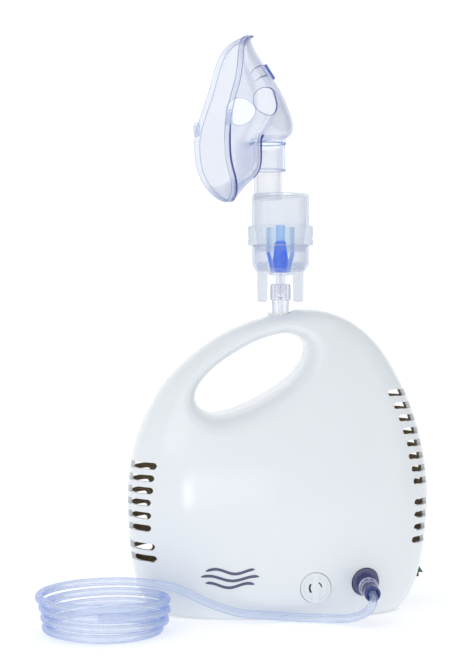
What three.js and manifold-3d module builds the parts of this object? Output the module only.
// Tabletop compressor nebulizer with carry handle, parked drug cup, face mask and coiled air line.
// Millimetres, +Z up, +X to the right of the front face, +Y to the back, table at z = 0.
// The machine is laid out about its own centre line; SET_SHIFT then moves the whole set
// so that the origin is the middle of its footprint on the table.
import * as THREE from 'three';
import { mergeVertices } from 'three/addons/utils/BufferGeometryUtils.js';
import Module from 'manifold-3d';

const wasm = await Module();
wasm.setup();

// ---------- driving dimensions ----------
const SET_SHIFT = [30.07, 32.13, 0];
const WALL = 2.6;                            // housing wall
const GAP = 0.3;                             // clearance between neighbouring pieces
const FOOT_H = 2.8;                          // rubber feet
const PLATE_TOP = FOOT_H + 3.3;              // top of the base plate
const SHAFT_Z = 56;                          // motor shaft height
const CRANK_THROW = 2.5;                     // half the piston's stroke
const CYLINDER_X = 30;                       // axis of the cylinder
const KIT_X = 1.7;                           // axis of the drug cup
const STEM_DX = -8.6;                        // outlet stem, off the cup's axis
const LEG_TURN = THREE.MathUtils.degToRad(39);     // cup legs, about its axis
const MASK_TURN = THREE.MathUtils.degToRad(12.5);  // swings the mask's rim toward the front
const CAP = { x: 18.6, z: 21.6, radius: 10.6 };    // filter cap on the front
const PORT = { x: 52.7, y: -44.2, z: 24.2, tilt: THREE.MathUtils.degToRad(8) };  // air outlet
const INLET_X = [51.2, 70.8];                // mains inlet in the back
const INLET_Z = [18.2, 31.8];
const SWITCH_Y = [8.2, 21.8];                // switch frame in the right side
const SWITCH_Z = [18.2, 32.8];

// ---------- shape helpers ----------
// closed indexed triangles: merged points, no slivers, faces outward
function clean(source) {
  let geo = source.index ? source.toNonIndexed() : source;
  for (const key of Object.keys(geo.attributes)) if (key !== 'position') geo.deleteAttribute(key);
  geo = mergeVertices(geo, 1e-4);
  const points = geo.attributes.position;
  const index = geo.index.array;
  const faces = [];
  const corners = [0, 1, 2].map(() => new THREE.Vector3());
  let volume = 0;
  for (let i = 0; i < index.length; i += 3) {
    const face = [index[i], index[i + 1], index[i + 2]];
    if (new Set(face).size < 3) continue;
    faces.push(face);
    corners.forEach((corner, k) => corner.fromBufferAttribute(points, face[k]));
    volume += corners[0].dot(corners[1].cross(corners[2]));
  }
  geo.setIndex((volume < 0 ? faces.map((f) => [f[1], f[0], f[2]]) : faces).flat());
  return geo;
}

function geometry(positions, index) {
  const geo = new THREE.BufferGeometry();
  geo.setAttribute('position', new THREE.BufferAttribute(new Float32Array(positions), 3));
  return geo.setIndex(index);
}

// Boolean operations take geometries or manifolds.
const isGeometry = (shape) => shape instanceof THREE.BufferGeometry;
function solid(shape) {
  if (!isGeometry(shape)) return shape;
  const geo = clean(shape);
  return new wasm.Manifold(new wasm.Mesh({
    numProp: 3,
    vertProperties: new Float32Array(geo.attributes.position.array),
    triVerts: new Uint32Array(geo.index.array),
  }));
}
const join = (...shapes) => shapes.map(solid).reduce((sum, shape) => sum.add(shape));
const cut = (shape, ...tools) => tools.reduce((rest, t) => rest.subtract(solid(t)), solid(shape));
const common = (one, other) => solid(one).intersect(solid(other));

// a range widened by a margin at both ends
const grown = ([low, high], margin) => [low - margin, high + margin];
// a range, or its mirror image below zero when side is -1
const onSide = (side, low, high) => (side < 0 ? [-high, -low] : [low, high]);

function box([x0, x1], [y0, y1], [z0, z1]) {
  return new THREE.BoxGeometry(x1 - x0, y1 - y0, z1 - z0)
    .translate((x0 + x1) / 2, (y0 + y1) / 2, (z0 + z1) / 2);
}

const UP = new THREE.Vector3(0, 1, 0);   // axis on which three.js builds cylinders and lathes
const turnTo = (direction) => new THREE.Quaternion().setFromUnitVectors(UP, direction);

// a cylinder or cone between two points
function rod(from, to, radius, sides, endRadius = radius) {
  const span = new THREE.Vector3(...to).sub(new THREE.Vector3(...from));
  const length = span.length();
  return new THREE.CylinderGeometry(endRadius, radius, length, sides)
    .translate(0, length / 2, 0)
    .applyQuaternion(turnTo(span.normalize()))
    .translate(...from);
}
const rodX = ([x0, x1], y, z, ...size) => rod([x0, y, z], [x1, y, z], ...size);
const rodY = (x, [y0, y1], z, ...size) => rod([x, y0, z], [x, y1, z], ...size);
const rodZ = (x, y, [z0, z1], ...size) => rod([x, y, z0], [x, y, z1], ...size);

// turned pieces: the profile is [radius, height] pairs
function lathe(profile, sides) {
  return new THREE.LatheGeometry(profile.map((pair) => new THREE.Vector2(...pair)), sides);
}
function turned(profile, sides, x = 0, y = 0) {
  return lathe(profile, sides).rotateX(Math.PI / 2).translate(x, y, 0);
}
function turnedAlong(profile, sides, start, direction) {
  return lathe(profile, sides)
    .applyQuaternion(turnTo(new THREE.Vector3(...direction).normalize()))
    .translate(...start);
}
// profile of a ring with a rectangular section
const ringProfile = (r0, r1, z0, z1) => [[r0, z0], [r1, z0], [r1, z1], [r0, z1], [r0, z0]];

function tube(points, radius, sides, steps) {
  const path = points.map((p) => new THREE.Vector3(...p));
  const section = Array.from({ length: sides }, (_, i) => {
    const angle = (i / sides) * 2 * Math.PI;
    return new THREE.Vector2(radius * Math.cos(angle), radius * Math.sin(angle));
  });
  const extrudePath = new THREE.CatmullRomCurve3(path, false, 'centripetal');
  return new THREE.ExtrudeGeometry(new THREE.Shape([...section, section[0].clone()]),
    { steps, bevelEnabled: false, extrudePath });
}

// a flat outline of [x, z] points, its thickness running from y = -depth to 0
function slabXZ(outline, depth) {
  const shape = new THREE.Shape(outline.map((pair) => new THREE.Vector2(...pair)));
  return new THREE.ExtrudeGeometry(shape, { depth, bevelEnabled: false }).rotateX(Math.PI / 2);
}

// closed skin through rings of equal point count, flat ends
function loft(rings) {
  const count = rings[0].length;
  const points = rings.flat();
  const index = [];
  for (let k = 0; k + 1 < rings.length; k++) {
    for (let i = 0; i < count; i++) {
      const a = k * count + i;
      const b = k * count + (i + 1) % count;
      index.push(a, b, b + count, a, b + count, a + count);
    }
  }
  for (const k of [0, rings.length - 1]) {
    const centre = points.length;
    points.push([0, 1, 2].map((axis) => rings[k].reduce((sum, p) => sum + p[axis] / count, 0)));
    for (let i = 0; i < count; i++) {
      const a = k * count + i;
      const b = k * count + (i + 1) % count;
      index.push(centre, ...(k === 0 ? [b, a] : [a, b]));
    }
  }
  return geometry(points.flat(), index);
}

// closed skin of a bent sheet: outer and inner grids of the same size, joined round their edges
function sheet(outer, inner) {
  const rows = outer.length;
  const cols = outer[0].length;
  const index = [];
  const out = (i, j) => i * cols + j;
  const inn = (i, j) => (rows + i) * cols + j;
  const quad = (a, b, c, d) => index.push(a, b, c, a, c, d);
  for (let i = 0; i + 1 < rows; i++) {
    for (let j = 0; j + 1 < cols; j++) {
      quad(out(i, j), out(i, j + 1), out(i + 1, j + 1), out(i + 1, j));
      quad(inn(i, j), inn(i + 1, j), inn(i + 1, j + 1), inn(i, j + 1));
    }
  }
  const endRow = rows - 1;
  for (let j = 0; j < cols - 1; j++) {
    quad(out(0, j), inn(0, j), inn(0, j + 1), out(0, j + 1));
    quad(out(endRow, j), out(endRow, j + 1), inn(endRow, j + 1), inn(endRow, j));
  }
  const endCol = cols - 1;
  for (let i = 0; i < rows - 1; i++) {
    quad(out(i, 0), out(i + 1, 0), inn(i + 1, 0), inn(i, 0));
    quad(out(i, endCol), inn(i, endCol), inn(i + 1, endCol), out(i + 1, endCol));
  }
  return geometry([outer, inner].flat(3), index);
}

// closed tube through a loop of rings
function closedLoop(rings) {
  const count = rings[0].length;
  const index = [];
  for (let i = 0; i < rings.length; i++) {
    const here = i * count;
    const next = ((i + 1) % rings.length) * count;
    for (let k = 0; k < count; k++) {
      const k2 = (k + 1) % count;
      index.push(here + k, here + k2, next + k2, here + k, next + k2, next + k);
    }
  }
  return geometry(rings.flat(2), index);
}

// ---------- materials and the model ----------
const MATERIALS = {   // colour, roughness, metalness
  abs: [0xe9edf4, 0.25, 0], rubber: [0x2c2d30, 0.8, 0], steel: [0xa9adb2, 0.35, 0.9],
  copper: [0xb4693a, 0.35, 0.9], alu: [0xc2c5c9, 0.4, 0.8], dark: [0x35373b, 0.6, 0],
  slate: [0x5a5c84, 0.35, 0], blue: [0x2f62d8, 0.25, 0], green: [0x1f7a3a, 0.35, 0],
  felt: [0xf1efe8, 0.95, 0], frost: [0xdfe5ea, 0.35, 0], clear: [0xc9d6f0, 0.1, 0],
  tube: [0xb9c6ee, 0.15, 0], silicone: [0xe4e0d4, 0.5, 0],
};
const model = new THREE.Group();
model.position.set(...SET_SHIFT);

function add(name, shape, material, parent = model) {
  let geo = shape;
  if (!isGeometry(shape)) {
    const { vertProperties, triVerts } = shape.getMesh();
    geo = geometry(vertProperties, Array.from(triVerts));
  }
  const [color, roughness, metalness] = MATERIALS[material];
  const look = new THREE.MeshStandardMaterial({ color, roughness, metalness });
  const mesh = new THREE.Mesh(clean(geo), look);
  mesh.name = name;
  parent.add(mesh);
}

// ---------- housing ----------
const PLAN_POWER = 2.35;                     // exponent of the housing's plan section
const HOUSING_SIDES = 24;
const HOLE_EDGE = { grip: 8, body: 14 };     // edge radius of the hand hole, above and below
const SLOT_H = 4.5;                          // cooling slot height
// height, left edge, right edge, half depth
const HOUSING = [
  [0.8, -84.6, 83.4, 44], [9, -92.2, 90, 47.2], [20, -97.6, 95.3, 49.4],
  [42, -101.6, 100.6, 50.8], [73, -103.5, 103.4, 51], [105, -100.7, 101.2, 47.7],
  [130, -93, 94.9, 42.3], [150, -82.2, 87.4, 36.5], [167, -67.8, 78.6, 30.9],
  [180, -52.4, 70, 26], [190, -36.6, 60.4, 21.3], [198, -17.3, 49.7, 15.6],
  [203, -0.5, 37, 9], [205.3, 12, 25, 2],
];
// hand hole at mid depth: x, z, clockwise seen from the front
const HAND_HOLE = [
  [2.8, 189.1], [12.5, 187.2], [18.4, 181.8], [18.3, 174.8], [15.2, 167.8], [9.7, 160.8],
  [1.5, 153.9], [-9.5, 147], [-23, 140], [-36, 136], [-46, 133.9], [-53.5, 137.4],
  [-58.4, 143.4], [-58, 150], [-53.5, 157.2], [-46.2, 164.9], [-36, 172.6], [-24.5, 179.6],
  [-12, 185.2],
];
// cooling slots: height, x of the inner end
const LEFT_SLOTS = [
  [100.9, -85.1], [92.7, -86.8], [84.6, -87.6], [76.5, -89.1], [67.9, -88.9], [59.5, -88.9],
  [47.2, -86.4], [39.3, -85.1],
];
const RIGHT_SLOTS = [
  [148.6, 72.1], [139.9, 76], [131.5, 79.2], [122.8, 81.8], [114.4, 84.4], [105.9, 85.4],
  [97.3, 87.3], [89, 88.5], [74.7, 89.1], [66.1, 89.1], [57.7, 88.8], [49.2, 87.3],
];
// screw posts between the shells: x, z
const POSTS = [[-81, 25.5], [78, 46], [-78, 112], [50, 167]];

function housingRing([z, left, right, halfDepth], inset) {
  const halfWidth = (right - left) / 2 - inset;
  const squared = (value) => Math.sign(value) * Math.abs(value) ** (2 / PLAN_POWER);
  return Array.from({ length: HOUSING_SIDES }, (_, i) => {
    const angle = (i / HOUSING_SIDES) * 2 * Math.PI;
    const x = (left + right) / 2 + squared(Math.cos(angle)) * halfWidth;
    return [x, squared(Math.sin(angle)) * (halfDepth - inset), z];
  });
}

// HOUSING row interpolated at a height
function housingAt(z) {
  const i = HOUSING.findIndex((row) => z <= row[0]);
  const below = HOUSING[i - 1];
  const above = HOUSING[i];
  const t = (z - below[0]) / (above[0] - below[0]);
  return below.map((value, k) => value + (above[k] - value) * t);
}

// half depth of the housing at a point of its front view, 0 outside it
function depthAt(x, z) {
  const [, left, right, halfDepth] = housingAt(z);
  const across = Math.abs((x - (left + right) / 2) / ((right - left) / 2));
  return halfDepth * Math.max(1 - across ** PLAN_POWER, 0) ** (1 / PLAN_POWER);
}

// straight at mid depth, rolling out over an edge radius to meet the front and back faces
function handHole(grow) {
  const count = HAND_HOLE.length;
  const edge = HAND_HOLE.map(([x, z], i) => {
    const before = HAND_HOLE[(i + count - 1) % count];
    const after = HAND_HOLE[(i + 1) % count];
    const dx = after[0] - before[0];
    const dz = after[1] - before[1];
    const length = Math.hypot(dx, dz);
    const outX = -dz / length;
    const outZ = dx / length;
    const bodyShare = 0.5 + 0.5 * (outX * 0.5 - outZ * 0.86);
    const radius = HOLE_EDGE.grip + (HOLE_EDGE.body - HOLE_EDGE.grip) * bodyShare;
    const depth = Math.max(depthAt(x + outX * radius * 0.7, z + outZ * radius * 0.7), 9);
    return { x, z, outX, outZ, radius, depth };
  });
  // level is the y of a ring as a fraction of the depth
  const ring = (level) => edge.map(({ x, z, outX, outZ, radius, depth }) => {
    const roll = Math.min(Math.max((Math.abs(level) - 0.3) / 0.7, 0), 1);
    const flare = Math.max(Math.abs(level) - 1, 0) * radius * 2.2;
    const offset = grow + radius * (1 - Math.sqrt(1 - (0.985 * roll) ** 2)) + flare;
    return [x + outX * offset, level * depth, z + outZ * offset];
  });
  return solid(loft([-1.5, -1, -0.9, -0.72, -0.4, 0.4, 0.72, 0.9, 1, 1.5].map(ring)));
}

// a slot through the wall on both sides of mid depth
function slotBoxes(slots, rangeX) {
  return slots.flatMap(([z, x]) => [-1, 1].map((side) => (
    box(rangeX(x), onSide(side, 5, 60), [z - SLOT_H / 2, z + SLOT_H / 2]))));
}

function housingShell() {
  const outer = solid(loft(HOUSING.map((row) => housingRing(row, 0))));
  // the cavity stops one wall below the top and runs out through the bottom
  const cavityRows = HOUSING.filter((row) => row[0] < 200)
    .map(([z, ...plan], i) => [i ? z - WALL : -2, ...plan]);
  return cut(
    join(
      cut(outer, loft(cavityRows.map((row) => housingRing(row, WALL)))),
      common(handHole(WALL), outer),
      ...POSTS.map(([x, z]) => common(rodY(x, [-60, 60], z, 4.6, 8), outer)),
    ),
    handHole(0),
    ...slotBoxes(LEFT_SLOTS, (x) => [-112, x]),
    ...slotBoxes(RIGHT_SLOTS, (x) => [x, 112]),
    rodZ(KIT_X, 0, [192.4, 215], 9.1, 12),
  );
}
const housing = housingShell();
const halfHousing = (side) => (
  common(housing, box([-130, 130], onSide(side, GAP / 2, 80), [0, 230])));

// a point on the outlet's axis, measured outward: to the front and slightly down
const portDir = [0, -Math.cos(PORT.tilt), -Math.sin(PORT.tilt)];
const portPoint = (out) => [PORT.x, PORT.y + portDir[1] * out, PORT.z + portDir[2] * out];

add('front_shell', cut(
  halfHousing(-1),
  rodY(CAP.x, [-60, -36], CAP.z, 11.4, 16),
  rod(portPoint(14), portPoint(-12), 9.7, 14),
  ...POSTS.map(([x, z]) => rodY(x, [-13, 2], z, 1.9, 6)),
), 'abs');
add('rear_shell', cut(
  halfHousing(1),
  ...POSTS.map(([x, z]) => rodY(x, [-1, 60], z, 2, 6)),
  ...POSTS.map(([x, z]) => rodY(x, [depthAt(x, z) - 5, 60], z, 4, 8)),
  box(grown(INLET_X, 0.4), [30, 60], grown(INLET_Z, 0.4)),
  box([84, 112], grown(SWITCH_Y, 0.5), grown(SWITCH_Z, 0.5)),
), 'abs');

const SCREW_TIP_Y = -12;
POSTS.forEach(([x, z], i) => {
  const length = depthAt(x, z) - 2.2 - SCREW_TIP_Y;
  add(`shell_screw_${i + 1}`, turnedAlong([
    [0, 0], [1.5, 1.5], [1.5, length - 2.4], [3.5, length - 2.2], [3.5, length], [0, length],
  ], 6, [x, SCREW_TIP_Y, z], [0, 1, 0]), 'steel');
});

// ---------- base ----------
const BASE_SCREWS = [[-70, 12], [70, 12], [-70, -12], [70, -12]];   // x, y
const FEET = [   // name, x, y
  ['front_left', -60, -24], ['front_right', 58, -23.5],
  ['rear_left', -60, 24], ['rear_right', 58, 23.5],
];
add('base_plate', cut(
  loft([
    housingRing(housingAt(FOOT_H + GAP), WALL + 1.2),
    housingRing(housingAt(PLATE_TOP), WALL + 0.6),
  ]),
  ...BASE_SCREWS.map(([x, y]) => rodZ(x, y, [0, 10], 2, 6)),
), 'abs');
for (const [place, x, y] of FEET) {
  const profile = [[0, 0], [6, 0], [7, 1], [7, FOOT_H], [0, FOOT_H]];
  add(`foot_${place}`, turned(profile, 10, x, y), 'rubber');
}
BASE_SCREWS.forEach(([x, y], i) => {
  const profile = [[0, 1.2], [3.4, 1.2], [3.4, FOOT_H], [1.6, FOOT_H], [1.6, 12], [0, 13.5]];
  add(`base_screw_${i + 1}`, turned(profile, 6, x, y), 'steel');
});

// ---------- motor, shaft along X ----------
const shaftRing = (r0, r1, [x0, x1], sides) => (
  turnedAlong(ringProfile(r0, r1, x0, x1), sides, [0, 0, SHAFT_Z], [1, 0, 0]));
const shaftRod = (rangeX, radius, sides) => rodX(rangeX, 0, SHAFT_Z, radius, sides);
const FLANGE_Z = [PLATE_TOP + 7, PLATE_TOP + 9.5];   // feet of the two brackets
const BRACKET_Y = [-28, 28];
const BORE_R = 3.3;                                  // pieces on the shaft
const BRACKET_TOP = SHAFT_Z + 30;

add('stator_core', cut(
  box([-42, 2], [-27, 27], [SHAFT_Z - 27, SHAFT_Z + 27]),
  shaftRod([-43, 3], 17, 14),
), 'steel');
add('field_winding_left', shaftRing(17.5, 25, [-50, -42.3], 14), 'copper');
add('field_winding_right', shaftRing(17.5, 25, [2.3, 9], 14), 'copper');
add('rotor', shaftRing(BORE_R, 16.4, [-41, 1], 14), 'alu');
add('motor_shaft', shaftRod([-76, 23.5], 3, 8), 'steel');

// upright plate with a bearing hole
function bracket(rangeX, ...extras) {
  return cut(join(box(rangeX, BRACKET_Y, [FLANGE_Z[0], BRACKET_TOP]), ...extras),
    shaftRod(grown(rangeX, 1), 8.3, 12));
}
add('motor_bracket', bracket([-57, -54], box([-62, -54.5], BRACKET_Y, FLANGE_Z)), 'alu');
add('compressor_frame', cut(
  bracket([13, 16.5],
    box([8, 14], BRACKET_Y, FLANGE_Z),
    box([14, 46], [-17, 17], [SHAFT_Z + 26, BRACKET_TOP])),
  rodZ(CYLINDER_X, 0, [SHAFT_Z + 20, SHAFT_Z + 40], 12.6, 14),
), 'alu');
add('bearing_left', shaftRing(BORE_R, 8, [-58, -53], 12), 'steel');
add('bearing_right', shaftRing(BORE_R, 8, [12, 17], 12), 'steel');

[[-60, -22], [-60, 22], [10, -22], [10, 22]].forEach(([x, y], i) => {
  const bottom = PLATE_TOP + GAP;
  const top = FLANGE_Z[0] - GAP;
  const profile = [[0, bottom], [4.5, bottom], [3.4, PLATE_TOP + 3.5], [4.5, top], [0, top]];
  add(`rubber_mount_${i + 1}`, turned(profile, 8, x, y), 'rubber');
});

// hub and raked blades on the left end of the shaft
const FAN_BLADES = 7;
const blades = Array.from({ length: FAN_BLADES }, (_, k) => (
  new THREE.BoxGeometry(1.4, 10, 22).rotateZ(0.75).translate(0, 0, 17.6)
    .rotateX((k / FAN_BLADES) * 2 * Math.PI).translate(-68.2, 0, SHAFT_Z)));
add('cooling_fan', join(shaftRing(BORE_R, 8, [-73, -63.5], 12), ...blades), 'dark');

// ---------- compressor, cylinder upright ----------
const BORE_Z = BRACKET_TOP + GAP;            // bottom of the cylinder
const HEAD_Z = BORE_Z + 20.3;                // bottom of the cylinder head
const HEAD_PORT_Z = BORE_Z + 25;
const overCrank = (profile) => turned(profile, 14, CYLINDER_X, 0);
const disc = (radius, bottom, top) => [[0, bottom], [radius, bottom], [radius, top], [0, top]];

add('crank_web', cut(
  join(shaftRod([18, 24], 11, 12), rodX([23.5, 34.5], 0, SHAFT_Z + CRANK_THROW, 2.5, 8)),
  shaftRod([17, 24.3], BORE_R, 8),
), 'steel');
// the big end's ring clears the crank pin's circle at every stroke
add('connecting_rod', cut(
  join(shaftRod([26, 34], 12.5, 16), box([27, 33], [-3.5, 3.5], [SHAFT_Z + 10, SHAFT_Z + 37.5])),
  shaftRod([25, 35], 8.6, 14),
), 'alu');
add('piston', overCrank(disc(11.6, SHAFT_Z + 37.8, SHAFT_Z + 46)), 'dark');
add('cylinder', overCrank(ringProfile(12.2, 15.5, BORE_Z, BORE_Z + 20)), 'alu');
add('cylinder_head', join(
  overCrank(disc(16.5, HEAD_Z, BORE_Z + 29)),
  rodY(CYLINDER_X, [-15, -21], HEAD_PORT_Z, 2.2, 8),
  rodX([45, 51], 0, HEAD_PORT_Z, 2.2, 8),
), 'alu');
add('thermal_cutout', box([-28, -14], [-6, 6], [SHAFT_Z + 27.3, SHAFT_Z + 33]), 'dark');

// ---------- air intake: filter behind the round cap on the front ----------
// heights of these profiles run toward the front from y = 0
const capTurned = (profile, sides) => (
  turnedAlong(profile, sides, [CAP.x, 0, CAP.z], [0, -1, 0]));
const SPOUT_Y = -37;
const spoutRod = (low, high, radius, sides) => (
  rodZ(CAP.x, SPOUT_Y, [CAP.z + low, CAP.z + high], radius, sides));

add('filter_housing', cut(
  join(capTurned(disc(11, 29, 45.2), 14), spoutRod(9, 16, 2.2, 8)),
  capTurned(disc(9.4, 31, 50), 14),
  spoutRod(5, 17, 1.1, 6),
), 'abs');
add('filter_element', capTurned(disc(8.8, 32, 43), 12), 'felt');
const capProfile = [
  [0, 43.6], [8.8, 43.6], [8.8, 45.8], [CAP.radius, 45.8], [CAP.radius, 49],
  [CAP.radius - 1.2, 49.8], [0, 49.8],
];
const capRecesses = [[-6.4, -2.2], [2.2, 5.4]].map(([left, right]) => (
  box([CAP.x + left, CAP.x + right], [-52, -47.6], [CAP.z - 5, CAP.z + 5])));
add('filter_cap', cut(capTurned(capProfile, 18), ...capRecesses), 'abs');
add('intake_hose', tube([
  [CAP.x, SPOUT_Y, CAP.z + 16.4], [CAP.x, SPOUT_Y, CAP.z + 30], [21, -36, 85], [27, -32, 106],
  [CYLINDER_X, -27, HEAD_PORT_Z], [CYLINDER_X, -21.4, HEAD_PORT_Z],
], 2.6, 6, 12), 'silicone');

// ---------- air outlet ----------
const portTurned = (profile, sides) => turnedAlong(profile, sides, portPoint(0), portDir);
add('outlet_grommet', portTurned([
  [1.6, -16], [2.6, -16], [2.6, -9], [7, -8], [7, -1.5], [9.2, -1], [9.2, 1.4], [8.2, 2.4],
  [5, 2.4], [4.4, 1], [4.4, -7], [1.6, -7], [1.6, -16],
], 16), 'slate');
add('pressure_hose', tube([
  portPoint(-16.4), portPoint(-21), [58, -10, 34], [64, 2, 60], [66, 4, 92],
  [60, 1, BORE_Z + 24], [51.4, 0, HEAD_PORT_Z],
], 2.6, 6, 12), 'silicone');

// ---------- mains switch, inlet and leads ----------
add('switch_frame', cut(
  box([88, 100.6], SWITCH_Y, SWITCH_Z),
  box([93, 105], grown(SWITCH_Y, -1.8), grown(SWITCH_Z, -1.8)),
), 'dark');
const ROCKER = [   // x, z from the rocker's middle height
  [94.4, -0.2], [99.2, -4.8], [104.4, -4.8], [101.2, 0], [101.2, 4.8], [99.2, 4.8],
];
add('power_rocker', slabXZ(ROCKER, 8.8).translate(0, 19.4, 25.5), 'green');
add('mains_inlet', join(
  cut(box(INLET_X, [31.5, 42], INLET_Z), box(grown(INLET_X, -2.3), [34, 48], grown(INLET_Z, -2.3))),
  ...[57, 63].map((x) => box([x, x + 2], [33.5, 40], [24, 26])),
), 'dark');
add('switch_lead', tube([
  [87.2, 17, 25], [80, 17, 24.5], [72, 20, 15], [62, 24, 20], [61, 26, 25], [61, 31, 25],
], 1.5, 5, 8), 'dark');
add('motor_lead', tube([
  [87.2, 11, 27], [80, 11, 27], [72, 6, 22], [50, 22, 12], [24, 33, 20], [-6, 36, 60],
  [-18, 30, 87], [-20, 12, 87], [-20, 6.6, 86.6],
], 1.5, 5, 14), 'dark');

// ---------- parked drug cup, built on its own axis ----------
const kit = new THREE.Group();
kit.position.x = KIT_X;
model.add(kit);
const quarters = (build) => [0, 1, 2, 3].map((k) => build(k * Math.PI / 2));

add('kit_holder', turned([
  [0, 193], [8.7, 193], [8.7, 203.2], [6.5, 203.2], [6.4, 194.8], [0, 194.8],
], 12), 'abs', kit);
add('tube_connector', solid(turned([
  [1.6, 195.2], [5.1, 195.2], [5.9, 211.8], [6.9, 212.2], [6.9, 222.4], [6.3, 222.9],
  [3.8, 222.9], [3.6, 214], [1.6, 213], [1.6, 195.2],
], 12)), 'clear', kit);

const legRing = (halfWidth, z) => (
  [[-1, -1], [1, -1], [1, 1], [-1, 1]].map(([x, y]) => [x * halfWidth, y * 1.3, z]));
add('cup_body', join(
  turned([
    [1.2, 216], [2.6, 216], [3.2, 223], [3.2, 229.2], [7.8, 229.2], [9.6, 231.6],
    [16.8, 231.8], [19.5, 236.7], [19.5, 248.6], [17.9, 248.6], [17.9, 237.6], [15.8, 233.4],
    [9, 233], [7.2, 230.8], [4.4, 230.8], [2.5, 244], [1.2, 244], [1.2, 216],
  ], 20),
  ...quarters((turn) => (
    loft([legRing(3.6, 210.8), legRing(4.3, 238)]).translate(0, 17.4, 0).rotateZ(LEG_TURN + turn))),
), 'frost', kit);

const JET_FIN = [[5.5, 232], [6.4, 232], [9.9, 244.4], [8.6, 244.4], [4.4, 238.4]];   // x, z
add('cup_jet', join(
  turned([
    [4.9, 231.2], [6.2, 231.2], [5.2, 240], [3.7, 252], [3.1, 252.6], [3, 263.6],
    [0, 263.6], [0, 246.4], [3, 244.6], [4.9, 231.2],
  ], 12),
  ...quarters((turn) => slabXZ(JET_FIN, 2).translate(0, 1, 0).rotateZ(0.25 + turn)),
  // skirt round the jet
  turned([
    [5.2, 231.4], [7, 231.4], [9.6, 243.6], [9.8, 262], [9, 262], [8.8, 244], [6.6, 234],
    [5.2, 234], [5.2, 231.4],
  ], 16),
), 'blue', kit);
add('cup_seal', turned(ringProfile(17.9, 19.3, 248.9, 249.5), 16), 'silicone', kit);
add('cup_top', cut(
  join(
    turned([[0, 262], [19.8, 262], [19.8, 283.2], [18.8, 285], [0, 285]], 20),
    join(   // collar and the spigot below it
      turned(ringProfile(15.6, 22.4, 249.8, 262.6), 20),
      turned(ringProfile(15.6, 17.4, 245.6, 250.2), 20),
    ),
    rodZ(STEM_DX, 0, [280, 316], 9.9, 16, 9.5),
  ),
  turned([[0, 249], [15.7, 249], [17.6, 262.2], [18.2, 282], [17, 283.4], [0, 283.4]], 20),
  rodZ(STEM_DX, 0, [270, 320], 7.9, 14),
), 'frost', kit);

// ---------- face mask, about the stem's axis: x away from the face, y across, z up ----------
const mask = new THREE.Group();
mask.position.x = KIT_X + STEM_DX;
mask.rotation.z = MASK_TURN;
model.add(mask);
const MASK_WALL = 1.5;
const MASK_COLS = 14;
const CHEEK_HOLE = { x: -10.5, z: 344.9, radius: 9.4 };   // through both cheeks
// height, rim x, half width, cheek x, ridge rise over the cheeks, ridge half width, squareness
const MASK = [
  [279.6, -26.9, 4, -26.2, 0, 12, 2.5], [281.6, -27.8, 12.2, -25.6, 0, 12, 2.5],
  [285.7, -29.9, 21.6, -23.4, 0, 12, 2.7], [291.2, -32.5, 28.3, -18.4, 0, 12, 3],
  [295.4, -34.4, 30.6, -14, 0, 12, 3.4], [301, -36.6, 32.2, -12.6, 0, 12, 4.4],
  [308.4, -38.2, 33.2, -12.4, 0, 12, 4.8], [318, -38.8, 34, -12.3, 0.4, 14, 4.4],
  [321, -38.8, 34.2, -11, 13, 15.5, 3.8], [324.5, -38.6, 34.1, -8.4, 22.9, 16, 3.6],
  [332, -37.6, 32.8, -4.6, 21.8, 15.5, 4.4], [341, -35.2, 30.6, -1.6, 16.4, 14, 5],
  [350, -32.4, 29.4, -1.4, 12.4, 12.6, 5], [359, -29.6, 28.6, -2.8, 8.6, 11.4, 4],
  [368, -27.6, 27, -6.6, 6, 10, 3], [376, -26, 24, -10.2, 4.2, 9, 2.6],
  [383.4, -23.8, 19.6, -13.6, 2.4, 8, 2.5], [388.8, -19.8, 13, -14.6, 0.5, 8, 2.5],
  [391, -16.2, 7.6, -13.2, 0, 8, 2.5], [392.6, -13, 3.4, -11, 0, 8, 2.5],
];

// across runs from -1 to 1
function maskPoint([z, rimX, halfWidth, cheekX, rise, ridgeHalf, squareness], across) {
  const y = halfWidth * Math.sin(across * Math.PI / 2);
  const fullness = Math.max(1 - Math.abs(y / halfWidth) ** squareness, 0) ** (1 / squareness);
  const ridge = rise * Math.exp(-((Math.abs(y) / ridgeHalf) ** 3.2));
  return [rimX + (cheekX - rimX) * fullness + ridge, y, z];
}
const maskOuter = MASK.map((row) => (
  Array.from({ length: MASK_COLS + 1 }, (_, j) => maskPoint(row, -1 + (2 * j) / MASK_COLS))));

// the outer grid moved one wall toward the inside of the mask
const between = (from, to) => new THREE.Vector3(...to).sub(new THREE.Vector3(...from));
const maskInner = maskOuter.map((row, i) => row.map((p, j) => {
  const below = maskOuter[Math.max(i - 1, 0)][j];
  const above = maskOuter[Math.min(i + 1, MASK.length - 1)][j];
  const sideways = between(row[Math.max(j - 1, 0)], row[Math.min(j + 1, MASK_COLS)]);
  const normal = between(below, above).cross(sideways).normalize();
  const outward = new THREE.Vector3(p[0] + 30, p[1], (p[2] - 325) * 0.3);
  const step = normal.dot(outward) < 0 ? MASK_WALL : -MASK_WALL;
  return normal.multiplyScalar(step).add(new THREE.Vector3(...p)).toArray();
}));
add('mask_shell', cut(
  sheet(maskOuter, maskInner),
  rodY(CHEEK_HOLE.x, [-60, 60], CHEEK_HOLE.z, CHEEK_HOLE.radius, 16),
  rodZ(0, 0, [300.2, 325.6], 12.4, 20),
), 'clear', mask);
add('mask_socket', turned([
  [10.1, 300.9], [11.9, 300.9], [11.9, 318], [12.1, 319.2], [12.1, 323], [10.1, 323],
  [10.1, 300.9],
], 20), 'clear', mask);

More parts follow.
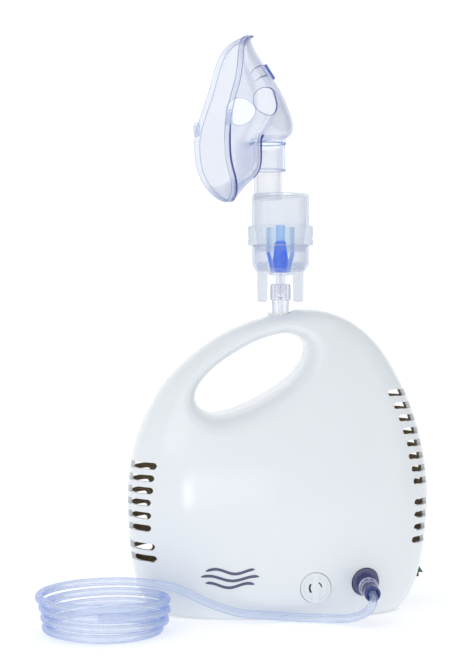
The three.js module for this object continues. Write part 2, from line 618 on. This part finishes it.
// soft bead round the rim; it takes every point of the sides but every other one at the ends
const rimPath = [
  ...maskOuter.map((row) => row[0]),
  ...maskOuter[MASK.length - 1].slice(1, -1),
  ...maskOuter.map((row) => row[MASK_COLS]).reverse(),
  ...maskOuter[0].slice(1, -1).reverse(),
];
const endShift = (z) => (z > 386 ? 1.2 : z < 284 ? -1 : 0);
const beadPath = rimPath
  .map(([x, y, z]) => [x - 2.8, y * 1.02, z + endShift(z)])
  .filter(([, , z], i) => i % 2 === 0 || (z > 300 && z < 380));
const BEAD = { sides: 6, halfX: 1.3, halfAcross: 2.4, halfAtEnds: 1 };
function beadRing(p, i) {
  const count = beadPath.length;
  const along = between(beadPath[(i + count - 1) % count], beadPath[(i + 1) % count]).normalize();
  const axisU = new THREE.Vector3(1, 0, 0).addScaledVector(along, -along.x).normalize();
  const axisV = along.clone().cross(axisU);
  const halfV = p[2] > 391 || p[2] < 282 ? BEAD.halfAtEnds : BEAD.halfAcross;
  return Array.from({ length: BEAD.sides }, (_, k) => {
    const angle = k * 2 * Math.PI / BEAD.sides;
    return new THREE.Vector3(...p)
      .addScaledVector(axisU, Math.cos(angle) * BEAD.halfX)
      .addScaledVector(axisV, Math.sin(angle) * halfV).toArray();
  });
}
const strapLug = (side) => cut(
  box([-42.2, -38.4], onSide(side, 33.6, 40.4), [327, 337]),
  box([-47, -36], onSide(side, 36.8, 39.2), [328.6, 335.4]),
);
add('mask_rim', join(closedLoop(beadPath.map(beadRing)), strapLug(-1), strapLug(1)), 'clear', mask);
add('nose_clip', new THREE.BoxGeometry(1.2, 8, 11).rotateY(-0.6).translate(1.6, 0, 369),
  'blue', mask);

// ---------- air line: plug, lead and a loose coil lying on the table ----------
const COIL = {
  x: -122.2, y: -73, radius: 41.2, top: 25.965, lowest: 2.8,   // centre line of the tube
  pitch: 6.45, turns: 4.1, stepsPerTurn: 18, tubeRadius: 2.65,
};
add('tube_plug', solid(portTurned([
  [1.3, -6.2], [3.6, -6.2], [4, 0.6], [4.2, 2.8], [6.1, 3.2], [5.6, 11], [6.3, 11.6],
  [6.3, 13.2], [5.3, 14], [4.9, 26], [4.6, 26.6], [3.9, 26.6], [3.6, 19], [1.3, 19],
  [1.3, -6.2],
], 14)), 'tube');

// from the top down: each turn a little smaller and further back, the loose end tucked inside
const coilSteps = Math.round(COIL.turns * COIL.stepsPerTurn);
const coilPath = Array.from({ length: coilSteps + 1 }, (_, i) => {
  const turn = i / COIL.stepsPerTurn;
  const angle = 1 + turn * 2 * Math.PI;
  const waver = 0.8 * Math.sin(i * 0.35) ** 2;
  const tuck = 14 * Math.max(0, turn - 3.4) ** 2;
  const radius = COIL.radius - 0.9 * turn - waver - tuck;
  return [
    COIL.x + 1.3 * Math.min(turn, 1.6) + radius * Math.cos(angle),
    COIL.y + 0.9 * turn + radius * Math.sin(angle),
    Math.max(COIL.top - COIL.pitch * turn, COIL.lowest),
  ];
});
const leadPath = [
  portPoint(19.6), portPoint(23.5), portPoint(27.6), [52.2, -75.2, 17.2], [50.4, -76.4, 13],
  [46, -74, 8.8], [38, -67.5, 4.8], [25, -57.8, 3.1], [2, -51.4, 3.2], [-17, -51.6, 5],
  [-33, -53, 7], [-54, -54.6, 14.6], [-74, -50.4, 23.4],
];
add('air_tube', tube([...leadPath, ...coilPath], COIL.tubeRadius, 6, coilSteps + 26), 'tube');

export default model;
